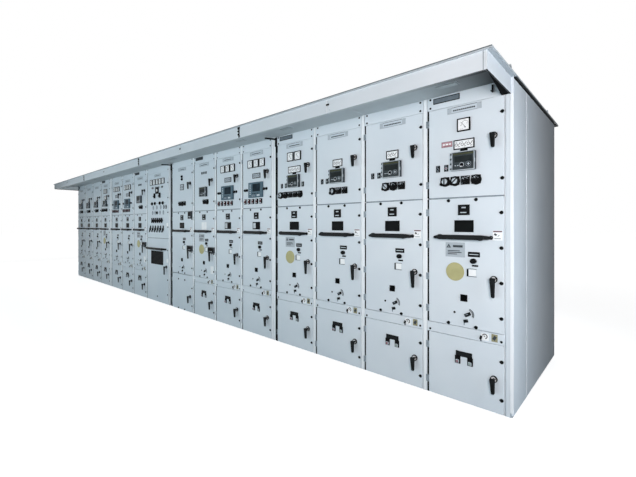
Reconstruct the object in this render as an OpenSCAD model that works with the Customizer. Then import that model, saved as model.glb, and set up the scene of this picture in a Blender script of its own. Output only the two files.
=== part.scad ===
// Marine switchgear: a row of sixteen metal-clad cubicles in four transport sections,
// with an instrument door, a breaker door and a cable door each, under a front canopy.
// X runs along the row, the fronts face -Y, Z is up. Origin: floor level, centre of the body.

/* [Row] */
// Width of a standard cubicle
cubicle_w = 600; // [540:10:700]
// Width of the transformer feeder cubicle
transformer_w = 700; // [620:10:800]
// Width of the synchronising cubicle
control_w = 880; // [820:10:960]
// Gap between the first two transport sections
near_joint = 56; // [44:1:80]
// Gap between the other transport sections
far_joint = 87; // [60:1:110]
// Depth of the body from door fronts to rear covers
body_d = 1500; // [1300:10:1800]

/* [Heights] */
// Clearance under the lowest doors
door_foot = 12; // [8:1:20]
// Height of a cable door
cable_door_h = 472; // [420:2:520]
// Height of the zone that holds the earthing switch strip
strip_zone_h = 80; // [70:1:100]
// Height of a breaker door
breaker_door_h = 946; // [900:2:1000]
// Height of an instrument door
instrument_door_h = 680; // [660:2:740]
// Height of the fixed cover above the instrument doors
top_cover_h = 90; // [80:1:130]
// Height of the top edge of the synchronising cubicle's lower door
control_split = 1083; // [1040:1:1120]

/* [Sheet metal] */
// Thickness of the folded doors
door_t = 25; // [20:1:28]
// Free gap all round a door
door_gap = 5; // [5:0.5:6]
// Gap on the hinge side of a door
hinge_gap = 12; // [12:0.5:14]
// Width of the post beside a door
post_w = 40; // [36:1:50]
// Radius of the post's front corners
post_r = 8; // [4:1:12]
// Thickness of inner walls and floors
wall_t = 20; // [12:1:24]
// Thickness of the rear covers
rear_cover_t = 15; // [10:1:25]
// Thickness of the end wall cladding
clad_t = 15; // [10:1:25]
// Height of the base channels
base_h = 60; // [50:1:70]
// Depth of the switching compartments
compartment_d = 880; // [780:10:960]

/* [Canopy] */
// Reach of the canopy in front of the doors
canopy_reach = 505; // [460:5:560]
// Height of the canopy front
fascia_h = 111; // [100:1:140]
// Sheet thickness of the canopy
canopy_t = 8; // [7:1:12]
// Thickness of the folded edge of the roof sheets
roof_t = 14; // [10:1:24]
// Overhang of the roof sheets at the rear
roof_rear = 130; // [60:5:200]
// Overhang of the roof sheets at the ends
roof_end = 15; // [8:1:25]

/* [Fittings] */
// Height of a grab rail above the foot of its breaker door
rail_rise = 659; // [620:1:700]
// Stand-off of a grab rail's outer face
rail_reach = 60; // [52:1:66]
// Stand-off of a swing handle's outer face
handle_reach = 50; // [44:1:56]
// Distance of the swing handles from the cubicle's right side
handle_inset = 110; // [100:1:124]
// Size of a square panel meter
meter_w = 96; // [72:4:100]
// Width of a clear-covered protection relay
relay_w = 176; // [150:2:190]
// Width of an operator display
display_w = 262; // [220:2:270]
// Pitch of the rotary switches
switch_pitch = 76; // [74:1:80]

/* [Hidden] */
$fn = 48;
reveal = 2 * door_gap;
rest_lap = 8;
rest_t = 9;
rest_y = door_t + 6;
wall_y = rest_y + rest_t;
knuckle_r = hinge_gap / 2 - 1;
leaf_t = 3;
weld_gap = 1;

// Heights that follow from the doors
cable_top = door_foot + cable_door_h;
breaker_foot = cable_top + strip_zone_h;
breaker_top = breaker_foot + breaker_door_h;
instrument_foot = breaker_top + reveal;
instrument_top = instrument_foot + instrument_door_h;
cover_foot = instrument_top + reveal;
body_h = cover_foot + top_cover_h;
roof_z = body_h + canopy_t;
front_y = -body_d / 2;
rear_y = body_d / 2;

// Cubicles from right to left, by place in the row
count = 16;
per_section = 4;
transformer = 7;
synchro = 8;
function width(i) = i == synchro ? control_w : i == transformer ? transformer_w : cubicle_w;
function joint_before(i) = i % per_section > 0 || i == 0 ? 0 : i == per_section ? near_joint : far_joint;
function right_of(i) = i == 0 ? 0 : right_of(i - 1) + width(i - 1) + joint_before(i);
function left_of(i) = right_of(i) + width(i);
row_len = left_of(count - 1);
sections = count / per_section;
function first_of(s) = s * per_section;
function last_of(s) = s * per_section + per_section - 1;
function is_section_end(i) = i % per_section == per_section - 1;

// Door outlines, as distances from the row's right end
function door_right(i) = right_of(i) + post_w + door_gap;
function door_left(i) = left_of(i) - hinge_gap;
function door_mid(i) = (door_right(i) + door_left(i)) / 2;
function door_w(i) = door_left(i) - door_right(i);
function lower_top(i) = i == synchro ? control_split : i == transformer ? breaker_foot - reveal : cable_top;
function inst_foot(i) = i == synchro ? control_split + reveal : instrument_foot;

// What each cubicle's instrument door carries
METERS = [1, 0, 0, 2, 3, 3, 0, 0, 5, 0, 3, 3, 2, 0, 0, 0];
SWITCHES = [4, 3, 3, 5, 5, 5, 2, 3, 6, 2, 5, 5, 5, 3, 3, 3];
RELAYS = ["relay", "relay", "relay", "relay", "display", "display", "relay", "none",
          "none", "relay", "display", "display", "relay", "relay", "relay", "relay"];
breaker_cubicles = [for (i = [0:count - 1]) if (i != synchro) i];
names = ["01", "02", "03", "04", "05", "06", "07", "08", "09", "10", "11", "12", "13", "14", "15", "16"];

// A box from s0 to s1 leftwards along the row, y0 to y1 behind the door fronts, z0 to z1 up
module slab(s0, s1, y0, y1, z0, z1) {
    translate([row_len / 2 - s1, front_y + y0, z0]) cube([s1 - s0, y1 - y0, z1 - z0]);
}

// Puts its children at a place on the door fronts, with +Y pointing into the body
module on_front(s, z) {
    translate([row_len / 2 - s, front_y, z]) children();
}

// A round boss that stands out of the door front
module boss(r, reach) {
    rotate([90, 0, 0]) cylinder(h = reach, r = r);
}

// ---- body ----

channel_w = 80;
module base_frame() {
    color("#7d868c")
    for (s = [0:sections - 1]) {
        s0 = right_of(first_of(s));
        s1 = left_of(last_of(s));
        rear = body_d - rear_cover_t;
        slab(s0, s1, rest_y, rest_y + channel_w, 0, base_h);
        slab(s0, s1, rear - channel_w, rear, 0, base_h);
        for (at = concat([for (i = [first_of(s):last_of(s)]) right_of(i)], [s1 - channel_w]))
            slab(at, at + channel_w, rest_y + channel_w + weld_gap, rear - channel_w - weld_gap, 0, base_h);
    }
}

knuckle_h = 26;
knuckle_gap = 1;
hinge_inset = 102;
function leaf_lap(i) = is_section_end(i) ? 0 : post_r + leaf_t;
function hinge_heights(z0, z1, n) =
    [for (k = [0:n - 1]) z0 + hinge_inset + (z1 - z0 - 2 * hinge_inset) * k / (n - 1)];

// The frame's half of every hinge: a knuckle just under the door's half, and its leaf
module frame_knuckles(i, z0, z1, hinges) {
    for (z = hinge_heights(z0, z1, hinges)) {
        foot = z - knuckle_h - knuckle_gap;
        on_front(left_of(i) - hinge_gap / 2, foot) cylinder(h = knuckle_h, r = knuckle_r);
        slab(left_of(i) - hinge_gap / 2, left_of(i) + leaf_lap(i), 0, leaf_t, foot, foot + knuckle_h);
    }
}

module post_outline() {
    translate([0, post_r]) square([post_w, rest_y - post_r]);
    translate([post_r, 0]) square([post_w - 2 * post_r, post_r]);
    for (x = [post_r, post_w - post_r]) translate([x, post_r]) circle(post_r);
}

// Front posts with the fixed hinge knuckles, and plain rear posts
module frame_posts() {
    color("#dde4e9") {
        for (i = [0:count - 1]) {
            on_front(right_of(i) + post_w, door_foot) linear_extrude(body_h - door_foot) post_outline();
            slab(right_of(i), right_of(i) + post_w, body_d - rear_cover_t - post_w,
                 body_d - rear_cover_t, base_h, roof_z);
            frame_knuckles(i, door_foot, lower_top(i), i == synchro ? 4 : 2);
            if (i != synchro) frame_knuckles(i, breaker_foot, breaker_top, 4);
        }
        for (s = [0:sections - 1])
            slab(left_of(last_of(s)) - post_w, left_of(last_of(s)), body_d - rear_cover_t - post_w,
                 body_d - rear_cover_t, base_h, roof_z);
    }
}

// Flat rests behind the edges of the doors: an upright at every post, cross pieces at every split
function rest_right(i) = right_of(i) + post_w + door_gap + rest_lap;
function rest_left(i) = left_of(i) - hinge_gap - rest_lap;
function door_splits(i) = i == synchro ? [[control_split, control_split + reveal]]
    : [[lower_top(i), breaker_foot], [breaker_top, instrument_foot]];
module door_rests() {
    color("#c3cacf")
    for (i = [0:count - 1]) {
        slab(i % per_section == 0 ? right_of(i) : rest_left(i - 1), rest_right(i), rest_y, wall_y,
             base_h, body_h);
        if (is_section_end(i)) slab(rest_left(i), left_of(i), rest_y, wall_y, base_h, body_h);
        for (split = door_splits(i))
            slab(rest_right(i) + weld_gap, rest_left(i) - weld_gap, rest_y, wall_y,
                 split[0] - rest_lap, split[1] + rest_lap);
    }
}

module partition_walls() {
    color("#cfd6da")
    for (i = [0:count - 1]) {
        slab(right_of(i) + hinge_gap, right_of(i) + hinge_gap + wall_t, wall_y,
             body_d - rear_cover_t - post_w, base_h, body_h);
        if (is_section_end(i))
            slab(left_of(i) - wall_t, left_of(i), wall_y, body_d - rear_cover_t - post_w, base_h, body_h);
    }
}

function clear_right(i) = right_of(i) + hinge_gap + wall_t;
function clear_left(i) = is_section_end(i) ? left_of(i) - wall_t : right_of(i + 1) + hinge_gap;

// Floors between the compartments, and their back walls
module compartment_liners() {
    color("#c3cacf")
    for (i = [0:count - 1]) {
        s0 = clear_right(i);
        s1 = clear_left(i);
        levels = [for (split = door_splits(i)) (split[0] + split[1]) / 2];
        for (z = levels)
            slab(s0, s1, wall_y, compartment_d - weld_gap, z - wall_t / 2, z + wall_t / 2);
        slab(s0, s1, compartment_d, compartment_d + wall_t, base_h, levels[len(levels) - 1] + wall_t / 2);
    }
}

rear_split = 1180;
rear_seam = 6;
rear_strip_lap = 30;
rear_strip_t = 4;

// Two rear covers a cubicle, and a cover strip over each joint between the sections
module rear_covers() {
    color("#d3dade") {
        for (i = [0:count - 1]) {
            s0 = right_of(i) + rear_seam / 2;
            s1 = left_of(i) - rear_seam / 2;
            slab(s0, s1, body_d - rear_cover_t, body_d, base_h / 2, rear_split - rear_seam / 2);
            slab(s0, s1, body_d - rear_cover_t, body_d, rear_split + rear_seam / 2, roof_z);
        }
        for (s = [1:sections - 1])
            slab(left_of(last_of(s - 1)) - rear_strip_lap, right_of(first_of(s)) + rear_strip_lap,
                 body_d, body_d + rear_strip_t, base_h / 2, roof_z);
    }
}

roof_front = 12;
roof_seam = 4;
module roof_sheets() {
    color("#aab2b7")
    for (s = [0:sections - 1]) {
        s0 = s == 0 ? -clad_t - roof_end : right_of(first_of(s)) - joint_before(first_of(s)) + roof_seam;
        s1 = s == sections - 1 ? row_len + clad_t + roof_end : left_of(last_of(s));
        slab(s0, s1, -canopy_reach - roof_front, body_d + roof_rear, roof_z, roof_z + roof_t);
    }
}

// Each end of the row has a narrow front strip and a wide main sheet with a seam between them,
// and each section but the last has a thin sheet over its left end
end_strip_d = 355;
end_seam = 4;
end_foot = 30;
end_sheet_t = 4;
module end_walls() {
    color("#c9d1d6") {
        for (s0 = [-clad_t, row_len]) {
            slab(s0, s0 + clad_t, 0, end_strip_d, end_foot, roof_z);
            slab(s0, s0 + clad_t, end_strip_d + end_seam, body_d, end_foot, roof_z);
        }
        for (s = [0:sections - 2])
            slab(left_of(last_of(s)), left_of(last_of(s)) + end_sheet_t, 0, body_d - rear_cover_t,
                 base_h, body_h);
    }
}

cover_set_back = 1;
module top_covers() {
    color("#dde4e9")
    for (i = [0:count - 1])
        slab(door_right(i) - door_gap, left_of(i), cover_set_back, rest_y, cover_foot, body_h);
}

strip_gap = 6;
module switch_strips() {
    color("#dde4e9")
    for (i = breaker_cubicles)
        if (i != transformer)
            slab(door_right(i) - door_gap, left_of(i), 0, rest_y,
                 cable_top + strip_gap, breaker_foot - strip_gap);
}

// ---- canopy ----

lip = 30;
hood_seam = 4;
end_plate_t = 10;
function hood_right(s) = s == 0 ? 0 : right_of(first_of(s)) - joint_before(first_of(s)) + hood_seam;
function hood_left(s) = left_of(last_of(s));
function hood_middle(s) = left_of(first_of(s) + per_section / 2 - 1);

// One length of hood: ceiling, front and the lip folded in under it
module hood(s0, s1) {
    front = -canopy_reach + canopy_t;
    slab(s0, s1, front + weld_gap, wall_y, body_h, roof_z);
    slab(s0, s1, -canopy_reach, front, roof_z - fascia_h, roof_z);
    slab(s0, s1, front + weld_gap, front + lip, roof_z - fascia_h, roof_z - fascia_h + canopy_t);
}

// Two lengths of hood a section, and an end plate at each end of the row
module canopy_hoods() {
    color("#d8dfe4") {
        for (s = [0:sections - 1]) {
            hood(hood_right(s) + (s == 0 ? end_plate_t + weld_gap : 0), hood_middle(s) - hood_seam / 2);
            hood(hood_middle(s) + hood_seam / 2,
                 hood_left(s) - (s == sections - 1 ? end_plate_t + weld_gap : 0));
        }
        for (s0 = [0, row_len - end_plate_t])
            slab(s0, s0 + end_plate_t, -canopy_reach, 0, roof_z - fascia_h, roof_z);
    }
}

light_w = 160;
light_d = 64;
light_h = 8;
light_y = canopy_reach * 0.34;
light_shift = 60;
module canopy_lights() {
    color("#eef2f4")
    for (s = [0:sections - 1])
        for (at = [door_mid(first_of(s)) + light_shift, door_mid(last_of(s)) - light_shift])
            slab(at - light_w / 2, at + light_w / 2, -light_y - light_d / 2, -light_y + light_d / 2,
                 body_h - light_h, body_h);
}

// A black rubber strip closes the first joint, recessed channels the other two
seal_w = 20;
seal_d = 58;
module joint_seals() {
    color("#22262a")
    for (s = [1:sections - 1]) {
        s0 = left_of(last_of(s - 1)) + end_sheet_t;
        slab(s0, s0 + seal_w, s == 1 ? 2 : post_w, s == 1 ? seal_d : post_w + seal_w, door_foot, body_h);
    }
}

// White strips beside the joints, which widen the right post of the next section
module joint_posts() {
    color("#dde4e9")
    for (s = [1:sections - 1]) {
        s0 = left_of(last_of(s - 1)) + end_sheet_t + seal_w;
        set_back = s == 2 ? post_w : 0;
        slab(s0, right_of(first_of(s)), set_back, seal_d, door_foot, body_h);
    }
}

eye_r = 24;
eye_hole_r = 13;
eye_t = 16;
eye_rise = 74;
eye_inset = 24;
eye_front_inset = 55;
eye_rear_inset = 140;
eye_base_h = 8;
module lifting_eyes() {
    color("#b9c0c4")
    for (s = [0:sections - 1], at = [right_of(first_of(s)) + eye_inset, left_of(last_of(s)) - eye_inset],
         y = [eye_front_inset, body_d - eye_rear_inset])
        translate([row_len / 2 - at, front_y + y, roof_z + roof_t]) {
            cylinder(h = eye_base_h, r = eye_r);
            difference() {
                union() {
                    translate([-eye_t / 2, -eye_r + 6, 0]) cube([eye_t, 2 * eye_r - 12, eye_rise]);
                    translate([-eye_t / 2, 0, eye_rise]) rotate([0, 90, 0]) cylinder(h = eye_t, r = eye_r);
                }
                translate([-eye_t, 0, eye_rise]) rotate([0, 90, 0]) cylinder(h = 2 * eye_t, r = eye_hole_r);
            }
        }
}

// ---- handles, rails and hinges ----

handle_boss_r = 20;
lever_w = 34;
lever_t = 14;
// A swing handle whose lever hangs down in front of the door
module swing_handle(lever_h) {
    boss(handle_boss_r, 12);
    boss(12, handle_reach - lever_t / 2);
    translate([-lever_w / 2, -handle_reach, 12 - lever_h]) cube([lever_w, lever_t, lever_h]);
}

rail_h = 32;
rail_t = 24;
rail_right = 20;
rail_left = 54;
rail_post_r = 11;
// A black grab rail across a door, on two round stand-offs
module grab_rail(i, z) {
    s0 = right_of(i) + handle_inset + rail_right;
    s1 = left_of(i) - hinge_gap - rail_left;
    slab(s0, s1, -rail_reach, -rail_reach + rail_t, z - rail_h / 2, z + rail_h / 2);
    for (s = [s0 + 50, s1 - 50]) on_front(s, z) boss(rail_post_r, rail_reach - rail_t / 2);
}

// The door's half of a hinge: an upper knuckle on the pivot line and its leaf
module door_knuckle(i, z) {
    on_front(left_of(i) - hinge_gap / 2, z) cylinder(h = knuckle_h, r = knuckle_r);
    slab(door_left(i) - 1, left_of(i) - hinge_gap / 2, 0, leaf_t, z, z + knuckle_h);
}

module panel_door(i, z0, z1, hinges) {
    slab(door_right(i), door_left(i), 0, door_t, z0, z1);
    for (z = hinge_heights(z0, z1, hinges)) door_knuckle(i, z);
}

breaker_handle_rise = 371;
breaker_lever_h = 137;
module breaker_door(i) {
    color("#d5dfe6") panel_door(i, breaker_foot, breaker_top, 4);
    color("#1c1f22") {
        grab_rail(i, breaker_foot + rail_rise);
        on_front(right_of(i) + handle_inset, breaker_foot + breaker_handle_rise)
            swing_handle(breaker_lever_h);
    }
}

cable_handle_rise = 232;
cable_lever_h = 106;
module cable_door(i) {
    color("#d5dfe6") panel_door(i, door_foot, lower_top(i), 2);
    color("#1c1f22")
        on_front(right_of(i) + handle_inset, door_foot + cable_handle_rise) swing_handle(cable_lever_h);
}

control_rail_drop = 173;
control_handle_rise = 611;
module control_door_09() {
    color("#d5dfe6") panel_door(synchro, door_foot, control_split, 4);
    color("#1c1f22") {
        grab_rail(synchro, control_split - control_rail_drop);
        on_front(right_of(synchro) + handle_inset, door_foot + control_handle_rise)
            swing_handle(breaker_lever_h);
    }
}

// ---- instrument doors and what they carry ----

module instrument_doors() {
    color("#d5dfe6")
    for (i = [0:count - 1]) slab(door_right(i), door_left(i), 0, rest_y, inst_foot(i), instrument_top);
}

instrument_handle_drop = 265;
instrument_lever_h = 104;
module instrument_door_handles() {
    color("#1c1f22")
    for (i = [0:count - 1])
        if (i != synchro)
            on_front(right_of(i) + handle_inset, instrument_top - instrument_handle_drop)
                swing_handle(instrument_lever_h);
}

meter_t = 14;
meter_drop = 153;
meter_gap = 17;
module panel_meters() {
    color("#2a2d30")
    for (i = [0:count - 1])
        if (METERS[i] > 0)
            for (k = [0:METERS[i] - 1]) {
                s = door_mid(i) + (k - (METERS[i] - 1) / 2) * (meter_w + meter_gap);
                z = instrument_top - meter_drop;
                slab(s - meter_w / 2, s + meter_w / 2, -meter_t, 0, z - meter_w / 2, z + meter_w / 2);
            }
}

relay_h = 135;
relay_t = 40;
relay_drop = 420;
display_h = 183;
display_t = 24;
display_drop = 470;
module protection_relays() {
    color("#3c4246")
    for (i = [0:count - 1])
        if (RELAYS[i] != "none") {
            is_relay = RELAYS[i] == "relay";
            w = is_relay ? relay_w : display_w;
            h = is_relay ? relay_h : display_h;
            t = is_relay ? relay_t : display_t;
            z = instrument_top - (is_relay ? relay_drop : display_drop);
            slab(door_mid(i) - w / 2, door_mid(i) + w / 2, -t, 0, z - h / 2, z + h / 2);
        }
}

switch_w = 60;
switch_t = 12;
knob_r = 15;
knob_t = 24;
switch_shift = -88;
switch_drop = 560;
display_switch_drop = 605;
control_switch_drop = 813;
module rotary_switch() {
    translate([-switch_w / 2, -switch_t, -switch_w / 2]) cube([switch_w, switch_t, switch_w]);
    boss(knob_r, switch_t + knob_t);
}
module rotary_switches() {
    color("#1c1f22")
    for (i = [0:count - 1])
        for (k = [0:SWITCHES[i] - 1]) {
            drop = i == synchro ? control_switch_drop : RELAYS[i] == "display" ? display_switch_drop
                                                                                : switch_drop;
            start = i == synchro ? -switch_pitch * 2.5 : switch_shift;
            on_front(door_mid(i) + start + k * switch_pitch, instrument_top - drop) rotary_switch();
        }
}

base_frame();
frame_posts();
door_rests();
partition_walls();
compartment_liners();
rear_covers();
roof_sheets();
end_walls();
top_covers();
switch_strips();
canopy_hoods();
canopy_lights();
joint_seals();
joint_posts();
lifting_eyes();
instrument_doors();
instrument_door_handles();
panel_meters();
protection_relays();
rotary_switches();
control_door_09();
for (i = breaker_cubicles) {
    breaker_door(i);
    cable_door(i);
}
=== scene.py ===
import math
from types import SimpleNamespace

import bmesh
import bpy
from mathutils import Matrix, Vector


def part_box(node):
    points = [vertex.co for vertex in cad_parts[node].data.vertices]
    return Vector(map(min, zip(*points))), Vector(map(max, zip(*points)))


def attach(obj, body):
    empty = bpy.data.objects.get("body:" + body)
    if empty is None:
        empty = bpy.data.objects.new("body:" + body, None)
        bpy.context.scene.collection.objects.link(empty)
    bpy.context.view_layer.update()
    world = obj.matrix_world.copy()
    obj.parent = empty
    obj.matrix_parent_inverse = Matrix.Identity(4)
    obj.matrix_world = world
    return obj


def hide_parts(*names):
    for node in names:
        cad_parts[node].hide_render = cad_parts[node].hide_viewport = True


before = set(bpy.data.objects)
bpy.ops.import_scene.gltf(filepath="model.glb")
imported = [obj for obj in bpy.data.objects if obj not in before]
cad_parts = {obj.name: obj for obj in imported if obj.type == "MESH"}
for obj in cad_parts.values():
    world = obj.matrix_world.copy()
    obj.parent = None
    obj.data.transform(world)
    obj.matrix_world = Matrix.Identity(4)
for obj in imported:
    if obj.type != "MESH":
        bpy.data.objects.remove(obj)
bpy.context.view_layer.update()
print("frame loaded")


# ---- where the cubicles stand, read from the CAD nodes ----

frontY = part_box("instrument_doors")[0].y       # the plane that all door fronts share
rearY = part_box("rear_covers")[1].y
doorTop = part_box("instrument_doors")[1].z
stripFoot, stripTop = (corner.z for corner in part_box("switch_strips"))
coverFoot, coverTop = (corner.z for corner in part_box("top_covers"))
roofLow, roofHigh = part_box("roof_sheets")
wallLow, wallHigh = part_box("end_walls")
hoodLow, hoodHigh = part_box("canopy_hoods")
lightLow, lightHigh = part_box("canopy_lights")
doorThick, levelGap = 0.025, 0.010
# how far a door body's knuckles stand out at the left, and from a door to the hinge line and to the
# left and right sides of its cubicle
setting = {"knuckle": 0.011, "pivot": 0.006, "edge": 0.012, "side": 0.045}


def readCubicle(tag):
    # left and right are the sides of its doors, edge and side its outer sides, and spans has the
    # foot, top and number of hinges of its instrument door, middle door and cable door
    isControl = tag == "09"
    body = ("control_door_" if isControl else "breaker_door_") + tag
    low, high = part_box(body)
    left, right = low.x + setting["knuckle"], high.x
    spans = [(high.z + levelGap, doorTop, 3 if isControl else 2), (low.z, high.z, 4)]
    if not isControl:
        spans.append((*(corner.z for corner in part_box("cable_door_" + tag)), 2))
    return SimpleNamespace(tag=tag, isControl=isControl, body=body, left=left, right=right,
                           mid=(left + right) / 2, edge=left - setting["edge"],
                           side=right + setting["side"], pivot=left - setting["pivot"],
                           foot=low.z, top=high.z, spans=spans)


tags = [f"{number:02d}" for number in range(1, 17)]
cubicles = {tag: readCubicle(tag) for tag in tags}
brandTags = ("01", "04", "07", "10", "13")      # a blank plate on the top cover, a bare sign on the door
displayTags = ("05", "06", "11", "12")
relayTags = ("01", "02", "03", "04", "07", "10", "13", "14", "15", "16")
cardTags = ("01", "02", "03", "04", "13", "14", "15", "16")
stripTags = [tag for tag in tags if tag not in ("08", "09")]


# ---- finishes ----


def colour(text):
    # sRGB hex to linear
    parts = [int(text[i:i + 2], 16) / 255 for i in (1, 3, 5)]
    return (*[p / 12.92 if p <= 0.04045 else ((p + 0.055) / 1.055) ** 2.4 for p in parts], 1.0)


def node(tree, kind, values=None, links=None, **settings):
    made = tree.nodes.new("ShaderNode" + kind)
    for key, value in settings.items():
        setattr(made, key, value)
    for key, value in (values or {}).items():
        made.inputs[key].default_value = value
    for key, source in (links or {}).items():
        tree.links.new(source, made.inputs[key])
    return made


def axis(tree, vector, name):
    return node(tree, "SeparateXYZ", links={"Vector": vector}).outputs[name]


def between(tree, source, low, high, top=1.0):
    # 0 to top as the source goes from low to high
    return node(tree, "MapRange", {"From Min": low, "From Max": high, "To Max": top},
                {"Value": source}).outputs["Result"]


def combine(tree, one, other, operation="MULTIPLY"):
    return node(tree, "Math", links={0: one, 1: other}, operation=operation).outputs[0]


def tint(tree, surface, pattern, light, dark, low=0.35, high=0.65):
    # two shades of one colour, mixed by a pattern
    ramp = node(tree, "ValToRGB", links={"Fac": pattern})
    for stop, place, text in zip(ramp.color_ramp.elements, (low, high), (dark, light)):
        stop.position, stop.color = place, colour(text)
    tree.links.new(ramp.outputs["Color"], surface.inputs["Base Color"])
    return ramp.outputs["Color"]


def polish(tree, surface, pattern, low, high, span={}):
    sheen = node(tree, "MapRange", {"To Min": low, "To Max": high, **span}, {"Value": pattern})
    tree.links.new(sheen.outputs["Result"], surface.inputs["Roughness"])


def overlay(tree, surface, below, amount, text):
    # lays a second colour over the first by the given amount
    mixed = node(tree, "MixRGB", {"Color2": colour(text)}, {"Fac": amount, "Color1": below}).outputs["Color"]
    tree.links.new(mixed, surface.inputs["Base Color"])
    return mixed


def startMaterial(name):
    material = bpy.data.materials.new(name)
    material.use_nodes = True
    material.node_tree.nodes.clear()
    return material, material.node_tree, node(material.node_tree, "TexCoord").outputs["Object"]


finishes = {}      # name of a finish to its material, in the order they are made


def startFinish(name, shader):
    finishes[name], tree, place = startMaterial(name)
    surface = node(tree, "BsdfPrincipled", shader)
    node(tree, "OutputMaterial", links={"Surface": surface.outputs[0]})
    return tree, place, surface


def plainFinish(name, light, dark, patch, size, height, low, high, specular, shader={}, noise=(3.0, 2.0),
                stops=(0.35, 0.65)):
    # slow drift between two shades over patches, and a fine grain in bump and roughness
    tree, place, surface = startFinish(name, {"Specular IOR Level": specular, **shader})
    drift = node(tree, "TexNoise", {"Scale": 1 / patch, "Detail": noise[0], "Roughness": 0.5},
                 {"Vector": place})
    base = tint(tree, surface, drift.outputs["Fac"], light, dark, *stops)
    speckle = node(tree, "TexNoise", {"Scale": 1 / size, "Detail": noise[1], "Roughness": 0.55},
                   {"Vector": place}).outputs["Fac"]
    polish(tree, surface, speckle, low, high, {"From Min": 0.3, "From Max": 0.7})
    bump = node(tree, "Bump", {"Strength": 0.5, "Distance": height}, {"Height": speckle})
    tree.links.new(bump.outputs["Normal"], surface.inputs["Normal"])
    return tree, place, surface, base


def paintHoodShade(tree, place, surface, base):
    # painted shade: darker underneath, a painted shadow of the end cap in the corner of the right end, and
    # darker towards the left end
    normal = node(tree, "NewGeometry").outputs["Normal"]
    # painted shade: the faces that look down are darkened
    shadeBelow = between(tree, axis(tree, normal, "Z"), -0.4, -0.9)
    base = overlay(tree, surface, base, shadeBelow, "#b4bfc3")
    along = axis(tree, place, "X")
    # painted shadow: near black in the right end's corner, on the underside and on the inner face of the end
    # cap
    corner = between(tree, along, 4.50, 5.06, 0.97)
    shadedFaces = combine(tree, shadeBelow, between(tree, axis(tree, normal, "X"), -0.5, -0.9), "MAXIMUM")
    base = overlay(tree, surface, base, combine(tree, corner, shadedFaces), "#0d1113")
    # painted shade: darker towards the left end
    overlay(tree, surface, base, between(tree, along, -3.6, -5.12, 0.36), "#4a555a")


def paintRoofShade(tree, place, surface, base):
    # painted shade: near black on the roof's lower edges and underside at the ends and the rear, behind the
    # canopy, and darker along the upper rim in front
    height = axis(tree, place, "Z")
    behind = between(tree, axis(tree, place, "Y"), -0.745, -0.735)
    # painted shade under the roof's overhangs
    roofShadeMask = combine(tree, behind, between(tree, height, 2.3135, 2.3125))
    base = overlay(tree, surface, base, roofShadeMask, "#23292c")
    # painted shade along the roof's upper front rim
    front = between(tree, axis(tree, node(tree, "NewGeometry").outputs["Normal"], "Y"), -0.5, -0.8)
    overlay(tree, surface, base, combine(tree, between(tree, height, 2.3140, 2.3160), front), "#5a656a")


def finishZincSheet():
    # zinc-coated inner sheet: bright flakes a couple of centimetres across
    tree, place, surface = startFinish("zincSheet", {"Metallic": 0.55})
    flakes = node(tree, "TexVoronoi", {"Scale": 55.0, "Randomness": 1.0}, {"Vector": place}).outputs["Color"]
    tint(tree, surface, flakes, "#c3cace", "#a7b0b5", 0.0, 1.0)
    polish(tree, surface, flakes, 0.38, 0.52)


def finishBrushed():
    # brushed stainless sheet for blank plates: streaks along the plate
    tree, place, surface = startFinish("brushedPlate", {"Metallic": 0.1, "Specular IOR Level": 0.15})
    stretched = node(tree, "Mapping", {"Scale": (18.0, 400.0, 900.0)}, {"Vector": place}).outputs[0]
    streaks = node(tree, "TexNoise", {"Scale": 1.0, "Detail": 2.0}, {"Vector": stretched}).outputs["Fac"]
    tint(tree, surface, streaks, "#a6afb6", "#9ba5ad", 0.3, 0.7)
    polish(tree, surface, streaks, 0.34, 0.5)


# Light and dark shade, patch, grain and bump in metres, roughness range, specular level, then what
# only some have: other values of the shader, detail of both noises, and stops between the shades
sheets = {
    # Satin powder coat on folded steel. The real orange peel is 1 to 2 mm, drawn here at 3.5.
    "doorPaint": ("#d3dde4", "#cdd8e0", 0.45, 0.0035, 0.00005, 0.44, 0.54, 0.12),
    "panelPaint": ("#c6d1d9", "#bfcad3", 0.45, 0.0035, 0.00005, 0.54, 0.64, 0.06),
    # painted light: the end walls take a lighter copy of the door coat, matched to how bright they look in
    # the light
    "endPaint": ("#dbe5ec", "#d4dfe7", 0.45, 0.0035, 0.00005, 0.64, 0.74, 0.02),
    "framePaint": ("#eaf0f4", "#e4ebf0", 0.45, 0.0035, 0.00005, 0.4, 0.5, 0.18),
    # the canopy's copy of the coat, with painted shade laid over it underneath, in the right end's corner
    # and towards the left end
    "hoodPaint": ("#d6dfe6", "#d0dae1", 0.45, 0.0035, 0.00005, 0.44, 0.54, 0.12),
    # the same sheet on the roof: duller and a little dusty
    "roofPaint": ("#b9c3ca", "#a9b4bb", 0.3, 0.006, 0.00008, 0.5, 0.66, 0.4, {}, (6.0, 4.0), (0.3, 0.7)),
    # hot-rolled channel with a coat of grey primer: uneven and matt
    "primer": ("#7b858b", "#697379", 0.12, 0.004, 0.0002, 0.55, 0.75, 0.35, {}, (5.0, 4.0)),
    # zinc-plated steel of screws and eyes, and of hinges that have dulled
    "zincPlate": ("#b4bcc1", "#8e979d", 0.012, 0.002, 0.00003, 0.3, 0.48, 0.5, {"Metallic": 1.0}),
    "hingeSteel": ("#8d989f", "#78838b", 0.012, 0.002, 0.00003, 0.42, 0.58, 0.3, {"Metallic": 0.6}),
}
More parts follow.
